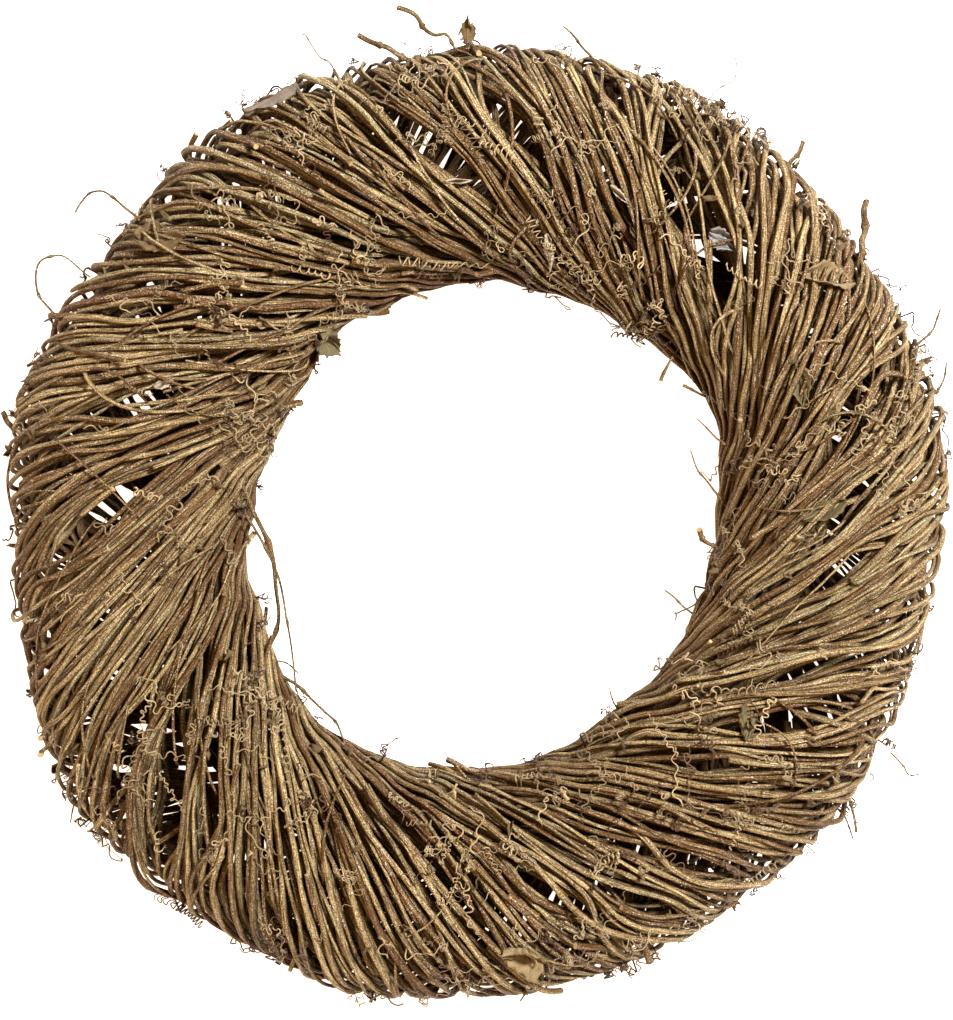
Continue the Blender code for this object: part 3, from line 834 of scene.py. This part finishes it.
def tendril_material():
    """Thin dried tendrils: smooth, pale and a little waxy."""
    made, tree, shader = new_material("dried tendril, straw coloured")
    colours = bpy.context.scene.wreath_colours
    tone = add_node(tree, "ShaderNodeAttribute", attribute_name="tone")
    parts = add_node(tree, "ShaderNodeSeparateColor", {"Color": tone.outputs["Color"]})
    # The tone's red and alpha carry the painted shade of each tendril's under side, which makes it browner
    # and darker
    base = mixed(tree, parts.outputs["Red"], colours.curl, srgb("#5d3d22"))
    links = {0: base, "Scale": tone.outputs["Alpha"]}
    shaded = add_node(tree, "ShaderNodeVectorMath", links, operation="SCALE")
    tree.links.new(shaded.outputs[0], shader.inputs["Base Color"])
    shader.inputs["Roughness"].default_value = 0.45
    return made


def leaf_material(name, colour, veins, shine=0.75):
    """A dried leaf: blotched, with a paler midrib and side veins, and crinkled."""
    made, tree, shader = new_material(name)
    place = add_node(tree, "ShaderNodeTexCoord").outputs["Object"]
    uv = add_node(tree, "ShaderNodeUVMap", uv_map="UVMap").outputs["UV"]
    parts = add_node(tree, "ShaderNodeSeparateXYZ", {"Vector": uv})
    off = maths(tree, "ABSOLUTE", maths(tree, "SUBTRACT", parts.outputs["Y"], 0.5), 0)
    rib = ramp(tree, off, 0.015, 0.05, 1.0, 0.0)
    slanted = maths(tree, "SUBTRACT", parts.outputs["X"], maths(tree, "MULTIPLY", off, 0.9))
    teeth = maths(tree, "SINE", maths(tree, "MULTIPLY", slanted, 44.0), 0)
    side = ramp(tree, teeth, 0.82, 1.0, 0.0, 0.7)
    lines = maths(tree, "MULTIPLY", maths(tree, "MAXIMUM", rib, side), veins)
    blotches = noise(tree, place, 160.0, 5.0)
    specks = noise(tree, place, 900.0, 2.0)
    dark = tuple(part * 0.45 for part in colour)
    light = tuple(min(1, part * 1.7 + 0.03) for part in colour)
    spread = ramp(tree, blotches, 0.35, 0.65, 0.0, 1.0)
    base = mixed(tree, spread, dark, colour)
    base = mixed(tree, maths(tree, "MULTIPLY", specks, 0.5), base, light)
    tree.links.new(mixed(tree, lines, base, light), shader.inputs["Base Color"])
    height = maths(tree, "ADD", maths(tree, "ADD", blotches, specks), lines)
    bump = add_node(tree, "ShaderNodeBump", {"Height": height}, {"Strength": 0.8, "Distance": 0.0006})
    tree.links.new(bump.outputs[0], shader.inputs["Normal"])
    shader.inputs["Roughness"].default_value = shine
    return made


def spring_path(*key):
    """A tendril wound like a spring: across, along and above the surface, in metres."""
    rounds = draw(2.5, 9, "rounds", *key)
    wide = draw(0.0009, 0.0021, "wide", *key)
    pitch = wide * draw(0.9, 2.4, "pitch", *key)
    share = np.linspace(0, 1, int(11 * rounds))
    angle = 2 * math.pi * rounds * share + 0.7 * np.sin(9 * share + draw(0, 6, "phase", *key))
    size = wide * (1 + 0.35 * np.sin(7 * share + draw(0, 6, "size", *key))) * (1 - 0.3 * share)
    bend = draw(-0.35, 0.35, "bend", *key) * pitch * rounds
    across = pitch * rounds * share + 0.3 * size * np.cos(angle)
    return np.stack([across, bend * share**2 + size * np.sin(angle), wide * 1.3 - size * np.cos(angle)], -1)


def drawn_path(*key):
    """A tendril that bends by turns one way and the other, or winds up towards its tip."""
    long = draw(0.012, 0.045, "long", *key)
    count = max(16, int(long / 0.00065))
    share = np.linspace(0, 1, count)
    wave = draw(0.004, 0.012, "wave", *key)
    sway = draw(0.5, 2.3, "sway", *key)
    heading = sway * np.sin(2 * math.pi * long * share / wave + draw(0, 6, "phase", *key))
    heading += draw(-1.5, 1.5, "bend", *key) * share
    slow = 2 * math.pi * long * share / (wave * 2.7) + draw(0, 6, "off", *key)
    heading += draw(0.3, 1.1, "stray", *key) * np.sin(slow)
    if draw(0, 1, "winds up", *key) < 0.45:
        wound = math.copysign(draw(5, 13, "wound", *key), draw(-1, 1, "hand", *key))
        heading += wound * np.maximum(0, share - 0.55) ** 1.3 * 2
    pace = long / count
    arch = 1 + np.sin(2 * math.pi * long * share / wave * 0.5 + 1.0)
    rise = 0.0009 + draw(0.0004, 0.0022, "rise", *key) * arch
    return np.stack([np.cumsum(np.cos(heading)) * pace, np.cumsum(np.sin(heading)) * pace, rise], -1)


def tendril(place, stand, *key):
    """One tendril laid over the ring's surface at a turn and a swing."""
    sizes = bpy.context.scene.wreath_canes
    local = spring_path(*key) if draw(0, 1, "shape", *key) < 0.10 else drawn_path(*key)
    heading = draw(0, 2 * math.pi, "heading", *key)
    across = local[:, 0] * math.cos(heading) - local[:, 1] * math.sin(heading)
    along = local[:, 0] * math.sin(heading) + local[:, 1] * math.cos(heading)
    turn, swing = place
    radius = ring().outer_radius - ring().half_width * (1 - math.cos(swing))
    turns = turn + across / radius
    swings = swing + along / arc_rate(swing, ring())
    depth = -(local[:, 2] - 0.0006 + stand * np.linspace(0, 1, len(local)) ** 2)
    depth[0] = 0.003
    points = on_ring(turns, swings, depth)
    radii = sizes.tendril * draw(0.65, 1.35, "thin", *key) * np.linspace(1.15, 0.7, len(local))
    edge = max(0.0, abs(math.degrees(swing) - 90) - 62) / 28
    radii = radii * (1 + 0.4 * min(1.0, edge))
    tone = (min(1.0, draw(0, 1, "brown", *key) ** 2.5 + 0.8 * edge), 0, 0, draw(0.68, 1.2, "bright", *key))
    return tube(points, outward_at(turns, swings), radii, 3, tone)


def tendril_places(count):
    """Turn, swing and stand of each tendril: most are in clusters, and a few reach beyond the edges."""
    clusters = []
    for number in range(TENDRIL_CLUSTERS):
        swing = math.radians(draw(22, 160, "swing", number))
        clusters.append((draw(0, 2 * math.pi, "cluster", number), swing))
    for number in range(count):
        kind = draw(0, 1, "kind of place", number)
        if kind < 0.58:
            turn, swing = clusters[int(draw(0, len(clusters), "of cluster", number))]
            swing += draw(-0.16, 0.16, "along", number)
            yield turn + draw(-0.06, 0.06, "across", number), swing, 0.0006
        elif kind < 0.94:
            turn = draw(0, 2 * math.pi, "turn", number)
            yield turn, math.radians(draw(-20, 175, "swing", number)), draw(0, 0.002, "stand", number)
        else:
            outer = draw(0, 1, "outer", number) < 0.65
            edge = draw(-10, 20, "edge", number) if outer else draw(165, 185, "edge", number)
            turn = draw(0, 2 * math.pi, "turn", number)
            yield turn, math.radians(edge), draw(0.002, 0.009, "stand", number)


def leaf_sheet(long_parts, wide_parts, size, fold, curl, *key, sunk=0.0, stand=0.0):
    """The blade of a leaf from stalk to tip as (across, along, height) rows, in metres."""
    length, width = size
    t, v = np.meshgrid(np.linspace(0, 1, long_parts), np.linspace(-1, 1, wide_parts), indexing="ij")
    half = width / 2 * (np.sin(math.pi * np.clip(t, 0.02, 0.985) ** 0.8)) ** 0.75
    half = half * (1 + 0.10 * np.sin(t * 34 + draw(0, 6, "teeth", *key)) * np.abs(v))
    across = (t - 0.5) * length * math.sqrt(1 - stand**2) + 0.06 * length * v * np.sin(5 * t)
    along = v * half
    height = fold * np.abs(along) + curl * length * ((t - 0.45) ** 2) + stand * length * t + 0.0006 - sunk
    for wave in range(1, 5):
        phase = draw(0, 6, "wave", *key, wave)
        height = height + 0.0017 / wave * np.sin(wave * 4 * t + 3 * v * wave + phase) * (0.4 + np.abs(v))
    return across, along, height


def lay_on_ring(sheet, turn, swing, heading):
    """Turns a flat sheet by its heading and lays it on the ring at a turn and a swing."""
    across, along, height = (part.reshape(-1) for part in sheet)
    out = across * math.cos(heading) - along * math.sin(heading)
    up = across * math.sin(heading) + along * math.cos(heading)
    radius = ring().outer_radius - ring().half_width * (1 - math.cos(swing))
    return on_ring(turn + out / radius, swing + up / arc_rate(swing, ring()), -height)


def add_leaf(name, place, size, fold, curl, material, slot, sunk=0.0, stand=0.0, solid=True):
    """A thin leaf or scrap, in place of its solid if it has one."""
    rows, columns = LEAF_QUADS
    bpy.ops.object.select_all(action="DESELECT")
    bpy.ops.mesh.primitive_grid_add(x_subdivisions=rows, y_subdivisions=columns, size=2)
    made = bpy.context.object
    made.name = f"dried_{name}"
    sheet = leaf_sheet(rows + 1, columns + 1, size, fold, curl, name, sunk=sunk, stand=stand)
    turn, swing, heading = (math.radians(value) for value in place)
    points = lay_on_ring([part.T for part in sheet], turn, swing, heading)
    made.data.vertices.foreach_set("co", points.reshape(-1))
    made.data.materials.append(material)
    bpy.ops.object.shade_smooth()
    bpy.ops.object.modifier_add(type="SOLIDIFY")
    made.modifiers["Solidify"].thickness = LEAF_THICKNESS
    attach(made, "root")
    if solid:
        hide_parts(name)
    return made


def add_crumbs(material):
    """Bits of broken leaf and bark caught among the canes, as one piece."""
    points, faces = [], []
    rows, columns = CRUMB_CORNERS
    for number in range(CRUMBS):
        size = (draw(0.003, 0.008, "crumb", number), draw(0.0012, 0.003, "crumb width", number))
        fold, curl = draw(-0.8, 0.8, "fold", number), draw(-1.5, 1.5, "curl", number)
        sheet = leaf_sheet(rows, columns, size, fold, curl, number)
        place = draw(0, 2 * math.pi, "at", number), math.radians(draw(0, 175, "up", number))
        laid = lay_on_ring(sheet, *place, draw(0, 6.3, "heading", number))
        start = len(points)
        points += [tuple(point) for point in laid]
        corners = [start + row * columns + column for row in range(rows - 1) for column in range(columns - 1)]
        faces += [(at, at + 1, at + columns + 1, at + columns) for at in corners]
    mesh = bpy.data.meshes.new("leaf_crumbs")
    mesh.from_pydata(points, [], faces)
    mesh.uv_layers.new(name="UVMap")
    mesh.materials.append(material)
    mesh.shade_smooth()
    made = piece("leaf_crumbs", mesh, "brown_leaf")
    made.modifiers.new("Solidify", "SOLIDIFY").thickness = CRUMB_THICKNESS
    return made


class WREATH_OT_vines(bpy.types.Operator):
    """Winds every vine of the wreath from its canes"""

    bl_idname = "wreath.vines"
    bl_label = "Wind the vines"

    def execute(self, context):
        bark, cut = bark_material(), cut_material()
        tubes = {vine: [] for vine in range(VINES)}
        for cane in canes():
            tubes[cane["vine"]].append(cane_tube(cane))
        for vine, parts in tubes.items():
            name = f"vine_{vine + 1:02d}"
            piece(f"wound_{name}", mesh_of(name, parts, bark, cut), "vine_bark", name)
        return {"FINISHED"}


class WREATH_OT_twigs(bpy.types.Operator):
    """Adds the loose twigs and the cut shoots that stand off the canes"""

    bl_idname = "wreath.twigs"
    bl_label = "Add twigs and cut shoots"

    def execute(self, context):
        bark, cut = bark_material(), cut_material()
        twigs = [twig_tube(number, *twig) for number, twig in enumerate(TWIGS)]
        piece("loose_twigs", mesh_of("loose_twigs", twigs, bark, cut), "vine_bark")
        stubs = [stub_tube(number) for number in range(CUT_SHOOTS)]
        piece("cut_shoots", mesh_of("cut_shoots", stubs, bark, cut), "vine_bark")
        crossing = [crossing_tube(number) for number in range(CROSSING_SHOOTS)]
        piece("crossing_shoots", mesh_of("crossing_shoots", crossing, bark, cut), "vine_bark")
        return {"FINISHED"}


class WREATH_OT_tendrils(bpy.types.Operator):
    """Curls the dried tendrils over the vines"""

    bl_idname = "wreath.tendrils"
    bl_label = "Curl the tendrils"

    def execute(self, context):
        straw = tendril_material()
        groups = [[] for _ in range(TENDRIL_PIECES)]
        for number, (turn, swing, stand) in enumerate(tendril_places(context.scene.wreath_canes.tendrils)):
            turn %= 2 * math.pi
            groups[int(turn / (2 * math.pi) * TENDRIL_PIECES)].append(tendril((turn, swing), stand, number))
        for number, parts in enumerate(groups, start=1):
            name = f"tendrils_{number:02d}"
            piece(name, mesh_of(name, parts, straw), "vine_bark")
        return {"FINISHED"}


class WREATH_OT_leaves(bpy.types.Operator):
    """Lays the dried leaves, the strip of bark, the papery scrap and the crumbs"""

    bl_idname = "wreath.leaves"
    bl_label = "Lay the leaves"

    def execute(self, context):
        colours = context.scene.wreath_colours
        looks = {
            "brown": leaf_material("dried brown leaf", tuple(colours.leaf), 0.4),
            "olive": leaf_material("dried olive leaf", tuple(colours.olive), 0.3),
            "grey": leaf_material("loose strip of grey bark", srgb("#77695a"), 0.0),
            "pale": leaf_material("dried pale leaf", srgb("#8a7550"), 0.5),
            "straw": leaf_material("papery sliver of bark", srgb("#b9ab94"), 0.2, 0.5),
            "paper": leaf_material("papery bud scale", srgb("#7f7a72"), 0.3, 0.3),
        }
        for name, (place, size, fold, curl, look, slot, sunk, stand) in LEAVES.items():
            add_leaf(name, place, size, fold, curl, looks[look], slot, sunk, stand)
        for number, (place, size) in enumerate(SLIVERS, start=1):
            name = f"sliver_{number}"
            add_leaf(name, place, size, 0.5, 0.3, looks["straw"], "papery_scrap", 0.0012, solid=False)
        add_crumbs(looks["brown"])
        return {"FINISHED"}


class WREATH_OT_studio(bpy.types.Operator):
    """Sets the pale floor, the soft lights and the camera that looks down on the wreath"""

    bl_idname = "wreath.studio"
    bl_label = "Set the studio"

    def execute(self, context):
        settings = context.scene.wreath_studio
        bpy.ops.object.select_all(action="DESELECT")
        bpy.ops.mesh.primitive_plane_add(size=FLOOR_SIDE, location=(0, 0, FLOOR_HEIGHT))
        floor = context.object
        floor.name = "floor"
        made, _, shader = new_material("white paper floor, lit from below")
        shader.inputs["Base Color"].default_value = (0.86, 0.86, 0.86, 1)
        shader.inputs["Roughness"].default_value = 0.9
        shader.inputs["Emission Color"].default_value = (1, 0.87, 0.77, 1)
        shader.inputs["Emission Strength"].default_value = settings.glow
        floor.data.materials.append(made)
        for name, power, colour, size, place in (
            ("key", settings.key, (1, 1, 1), 0.3, (0.72, 0.60, 1.50)),
            ("fill", settings.fill, (1, 0.65, 0.31), 1.6, (-1.0, -0.8, 1.1)),
        ):
            bpy.ops.object.light_add(type="AREA", location=place)
            light = context.object
            light.name = name
            light.data.energy = power
            light.data.color = colour
            light.data.size = size
            light.rotation_euler = (Vector((0, 0, 0.04)) - Vector(place)).to_track_quat("-Z", "Y").to_euler()
        world = bpy.data.worlds.new("studio")
        world.use_nodes = True
        world.node_tree.nodes["Background"].inputs["Color"].default_value = (1.0, 0.63, 0.33, 1)
        world.node_tree.nodes["Background"].inputs["Strength"].default_value = settings.sky
        context.scene.world = world
        middle = ring().half_height
        distance = PHOTO_HIGH * PIXEL * settings.lens / SENSOR
        x = (PHOTO_MIDDLE[0] - WREATH_MIDDLE[0]) * PIXEL
        y = (WREATH_MIDDLE[1] - PHOTO_MIDDLE[1]) * PIXEL
        bpy.ops.object.camera_add(location=(x, y, middle + distance), rotation=(0, 0, 0))
        camera = context.object
        camera.data.lens = settings.lens
        camera.data.sensor_width = SENSOR
        context.scene.camera = camera
        context.scene.view_settings.view_transform = "Standard"
        return {"FINISHED"}


class WREATH_PT_panel(bpy.types.Panel):
    """Lists the pieces of the wreath"""

    bl_label = "Rattan wreath"
    bl_idname = "WREATH_PT_panel"
    bl_space_type = "VIEW_3D"
    bl_region_type = "UI"
    bl_category = "Wreath"

    def draw(self, context):
        for operator in OPERATORS:
            self.layout.operator(operator.bl_idname)
        for group in ("wreath_ring", "wreath_canes", "wreath_colours", "wreath_studio"):
            settings = getattr(context.scene, group)
            for name in settings.__annotations__:
                self.layout.prop(settings, name)


OPERATORS = (WREATH_OT_vines, WREATH_OT_twigs, WREATH_OT_tendrils, WREATH_OT_leaves, WREATH_OT_studio)
GROUPS = {
    "wreath_ring": RingSizes,
    "wreath_canes": CaneSizes,
    "wreath_colours": WreathColours,
    "wreath_studio": StudioSettings,
}


def register():
    for group in (*GROUPS.values(), *OPERATORS, WREATH_PT_panel):
        bpy.utils.register_class(group)
    for name, group in GROUPS.items():
        setattr(bpy.types.Scene, name, PointerProperty(type=group))


def unregister():
    for name in GROUPS:
        delattr(bpy.types.Scene, name)
    for group in (WREATH_PT_panel, *reversed(OPERATORS), *GROUPS.values()):
        bpy.utils.unregister_class(group)


def main():
    register()
    bpy.ops.wreath.vines()
    bpy.ops.wreath.twigs()
    bpy.ops.wreath.tendrils()
    bpy.ops.wreath.leaves()
    bpy.ops.wreath.studio()


if __name__ == "__main__":
    main()
